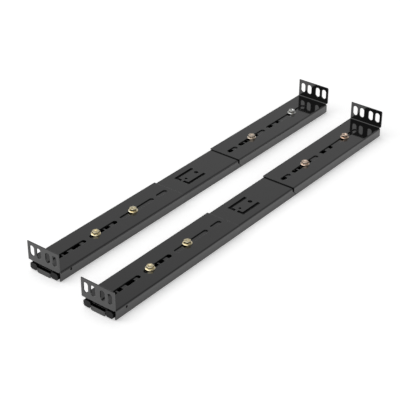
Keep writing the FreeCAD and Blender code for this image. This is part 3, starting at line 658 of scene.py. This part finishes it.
@dataclass
class BallCage:
    """One ball cage of a rail with its full rows of balls. Sizes are in millimetres."""

    side: Side
    name: str
    pitch: float = 8.0
    sheet: float = 0.4
    pocket_half: float = 2.05
    knee_drop: float = 0.6
    place_slack: float = 0.5
    facing_sideways: float = 0.9

    def row_places(self) -> tuple[list[float], float, float]:
        """Where the balls stand.

        Returns:
            Their places along the rail, their height and their radius, in metres.
        """
        balls = islands(f"{self.side.value}_{self.name}_balls")
        low, high = balls[0]
        first, last = ((box[0].y + box[1].y) / 2 for box in (balls[0], balls[-1]))
        count = round((last - first) / (self.pitch * MM))
        places = [first + (last - first) * number / count for number in range(count + 1)]
        return places, (low.z + high.z) / 2, (high.z - low.z) / 2

    def build_balls(self, steel: Material) -> None:
        """Makes both rows of balls.

        Args:
            steel: The balls' steel.
        """
        node = f"{self.side.value}_{self.name}_balls"
        places, height, radius = self.row_places()
        low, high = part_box(node)
        shape = bmesh.new()
        for x in (low[0] + radius, high[0] - radius):
            for y in places:
                bmesh.ops.create_icosphere(
                    shape, subdivisions=2, radius=radius,
                    matrix=Matrix.Translation((x, y, height)))
        finish_shape(shape, f"{node}_row", [node], [steel], smooth_below=60.0)

    def build_cage(self, steel: Material) -> None:
        """Makes the folded cage with a pocket for each ball.

        Args:
            steel: The cage's sheet.
        """
        node = f"{self.side.value}_{self.name}_cage"
        places, height, _ = self.row_places()
        low, high = (Vector(corner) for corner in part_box(node))
        half, pocket = self.sheet / 2 * MM, self.pocket_half * MM
        web, knee = high.z - half, high.z - half - self.knee_drop * MM
        left, right = low.x + half, high.x - half
        drop = web - knee
        section = [(left, low.z), (left, height - pocket), (left, knee), (left + drop, web),
                   (right - drop, web), (right, knee), (right, height - pocket), (right, low.z)]
        shape = bmesh.new()
        points = [shape.verts.new((x, low.y, z)) for x, z in section]
        strip = [shape.edges.new(pair) for pair in zip(points, points[1:])]
        cuts = [edge for y in places for edge in (y - pocket, y + pocket)] + [high.y]
        reached = low.y
        for cut in cuts:
            made = bmesh.ops.extrude_edge_only(shape, edges=strip)["geom"]
            moved = [item for item in made if isinstance(item, bmesh.types.BMVert)]
            bmesh.ops.translate(shape, verts=moved, vec=(0.0, cut - reached, 0.0))
            strip = [item for item in made if isinstance(item, bmesh.types.BMEdge)]
            reached = cut
        open_faces = [face for face in shape.faces if self.is_pocket(face, places, height)]
        bmesh.ops.delete(shape, geom=open_faces, context="FACES")
        bmesh.ops.recalc_face_normals(shape, faces=shape.faces)
        bmesh.ops.solidify(shape, geom=shape.faces, thickness=self.sheet * MM)
        bmesh.ops.recalc_face_normals(shape, faces=shape.faces)
        finish_shape(shape, f"{node}_pressed", [node], [steel], smooth_below=30.0)

    def is_pocket(self, face: bmesh.types.BMFace, places: Sequence[float],
                  height: float) -> bool:
        """Tells whether a face of the strip lies where a ball's pocket is cut.

        Args:
            face: The face.
            places: The balls' places along the rail, in metres.
            height: The balls' height, in metres.

        Returns:
            True for a face that the pocket takes away.
        """
        middle = face.calc_center_median()
        beside = abs(face.normal.x) > self.facing_sideways
        level = abs(middle.z - height) < self.pocket_half * MM
        return beside and level and any(
            abs(middle.y - y) < self.place_slack * MM for y in places)

    def build(self, cage_steel: Material, ball_steel: Material) -> None:
        """Makes the cage and its balls."""
        self.build_cage(cage_steel)
        self.build_balls(ball_steel)


@dataclass(frozen=True)
class Lamp:
    """One soft square lamp: where it stands and its side in metres, and its watts."""

    name: str
    place: tuple[float, float, float]
    size: float
    watts: float

    def build(self, target: Vector) -> None:
        """Makes the lamp.

        Args:
            target: The point that it is aimed at, in metres.
        """
        light = bpy.data.lights.new(self.name, "AREA")
        light.shape = "SQUARE"
        light.size = self.size
        light.energy = self.watts
        lamp = bpy.data.objects.new(self.name, light)
        lamp.location = self.place
        lamp.rotation_euler = (target - Vector(self.place)).to_track_quat("-Z", "Y").to_euler()
        bpy.context.scene.collection.objects.link(lamp)


@dataclass
class Studio:
    """White sweep, soft lamps and the camera.

    Angles are in degrees. The camera's distance and the floor's half width are in metres,
    the point that it looks at, the lens and the floor's drop in millimetres.
    """

    target_mm: tuple[float, float, float] = (-1.02, -36.25, 12.0)
    azimuth: float = 38.55
    elevation: float = 30.95
    distance: float = 1.36996
    lens: float = 110.93
    floor_half: float = 6.0
    floor_grey: float = 0.82
    floor_glow: float = 0.38
    floor_drop: float = 0.05
    wall_heights: tuple[float, float] = (0.12, 0.42)
    upper_wall: float = 0.51
    ceiling_heights: tuple[float, float] = (0.56, 0.76)
    ceiling: float = 0.45
    lamps: tuple[Lamp, ...] = (Lamp("Key", (-1.2, -0.4, 2.2), 3.0, 42.0),
                               Lamp("Fill", (1.6, -1.8, 1.4), 1.8, 10.0))

    def white_where_seen(self, tree: Tree) -> Socket:
        """Tells rays that look at the white from rays that carry its light.

        Args:
            tree: The node tree that takes the nodes.

        Returns:
            One for camera, mirror and glass rays, and nought for all others.
        """
        path = add(tree, "LightPath")
        mirror = add(tree, "Math", {"operation": "MAXIMUM"}, {
            0: path.outputs["Is Camera Ray"], 1: path.outputs["Is Glossy Ray"]})
        both = add(tree, "Math", {"operation": "MAXIMUM"}, {
            0: mirror.outputs["Value"], 1: path.outputs["Is Transmission Ray"]})
        return both.outputs["Value"]

    def make_world(self) -> None:
        """White walls that darken to a soft grey ceiling."""
        world = bpy.data.worlds.new("Studio_world")
        bpy.context.scene.world = world
        world.use_nodes = True
        tree = world.node_tree
        tree.nodes.clear()
        direction = add(tree, "TexCoord").outputs["Generated"]
        height = add(tree, "SeparateXYZ", inputs={"Vector": direction})
        walls = add(tree, "MapRange", inputs={
            "Value": height.outputs["Z"], "From Min": self.wall_heights[0],
            "From Max": self.wall_heights[1], "To Min": 1.0, "To Max": self.upper_wall})
        ceiling = add(tree, "MapRange", inputs={
            "Value": height.outputs["Z"], "From Min": self.ceiling_heights[0],
            "From Max": self.ceiling_heights[1], "To Min": 1.0, "To Max": self.ceiling})
        level = add(tree, "Math", {"operation": "MULTIPLY"}, {
            0: walls.outputs["Result"], 1: ceiling.outputs["Result"]})
        back = add(tree, "Background", inputs={
            "Color": (1.0, 1.0, 1.0, 1.0), "Strength": level.outputs["Value"]})
        add(tree, "OutputWorld", inputs={"Surface": back.outputs["Background"]})

    def make_floor(self) -> None:
        """A white floor that keeps the shadow and reads as pure white around it."""
        mesh = bpy.data.meshes.new("Floor")
        shape = bmesh.new()
        bmesh.ops.create_grid(shape, x_segments=1, y_segments=1, size=self.floor_half)
        shape.to_mesh(mesh)
        shape.free()
        floor = bpy.data.objects.new("Floor", mesh)
        floor.location = (0.0, 0.0, -self.floor_drop * MM)
        bpy.context.scene.collection.objects.link(floor)
        material = bpy.data.materials.new("White_sweep")
        material.use_nodes = True
        tree = material.node_tree
        tree.nodes.clear()
        grey = (self.floor_grey, self.floor_grey, self.floor_grey, 1.0)
        matt = add(tree, "BsdfDiffuse", inputs={"Color": grey})
        lift = add(tree, "Math", {"operation": "MULTIPLY"}, {
            0: self.white_where_seen(tree), 1: self.floor_glow})
        glow = add(tree, "Emission", inputs={
            "Color": (1.0, 1.0, 1.0, 1.0), "Strength": lift.outputs["Value"]})
        both = add(tree, "AddShader", inputs={0: matt.outputs["BSDF"],
                                              1: glow.outputs["Emission"]})
        add(tree, "OutputMaterial", inputs={"Surface": both.outputs["Shader"]})
        mesh.materials.append(material)

    def make_camera(self, target: Vector) -> None:
        """Makes the camera, looking along the rails from the front right.

        Args:
            target: The point that it looks at, in metres.
        """
        turn, tilt = math.radians(self.azimuth), math.radians(self.elevation)
        back = Vector((math.sin(turn) * math.cos(tilt), -math.cos(turn) * math.cos(tilt),
                       math.sin(tilt)))
        data = bpy.data.cameras.new("Camera")
        data.lens = self.lens
        data.sensor_width = 36.0
        camera = bpy.data.objects.new("Camera", data)
        camera.location = target + back * self.distance
        camera.rotation_euler = (-back).to_track_quat("-Z", "Y").to_euler()
        bpy.context.scene.collection.objects.link(camera)
        bpy.context.scene.camera = camera

    def build(self) -> None:
        """Makes the whole studio."""
        target = Vector(self.target_mm) * MM
        self.make_camera(target)
        self.make_world()
        self.make_floor()
        for lamp in self.lamps:
            lamp.build(target)
        bpy.context.scene.view_settings.view_transform = "Standard"


def main() -> None:
    """Builds the studio and dresses both rails."""
    logging.basicConfig(level=logging.INFO, format="%(message)s")
    Studio().build()
    coat, slide, dipped = COAT.build(), SLIDE_COAT.build(), DIPPED_COAT.build()
    yellow, straw, rose = YELLOW_ZINC.build(), STRAW_ZINC.build(), ROSE_ZINC.build()
    cage_steel, ball_steel, acetal = CLEAR_ZINC.build(), BEARING_STEEL.build(), ACETAL.build()
    eased = {
        "front_bracket": (FrontBracket, Easing.SHEARED, coat),
        "rear_bracket": (EasedPiece, Easing.SHEARED, coat),
        "base_channel": (BaseChannel, Easing.SHEARED, coat),
        "outer_member": (EasedPiece, Easing.ROLLED, dipped),
        "middle_member": (EasedPiece, Easing.ROLLED, slide),
        "inner_member": (EasedPiece, Easing.ROLLED, slide),
        "outer_bumpers": (EasedPiece, Easing.MOULDED, acetal),
        "middle_bumpers": (EasedPiece, Easing.MOULDED, acetal),
        "rear_stop": (EasedPiece, Easing.MOULDED, acetal),
        "release_lever": (EasedPiece, Easing.MOULDED, acetal),
        "lever_pin": (EasedPiece, Easing.TURNED, cage_steel),
    }
    screw_finishes = {Side.LEFT: [yellow, yellow, straw, cage_steel],
                      Side.RIGHT: [yellow, yellow, rose, rose]}
    for side in Side:
        for name, (kind, easing, material) in eased.items():
            kind(f"{side.value}_{name}", easing).build(material)
        ClampScrews(side).build(screw_finishes[side])
        BallCage(side, "outer", knee_drop=1.4).build(cage_steel, ball_steel)
        BallCage(side, "inner").build(cage_steel, ball_steel)


if __name__ == "__main__":
    main()
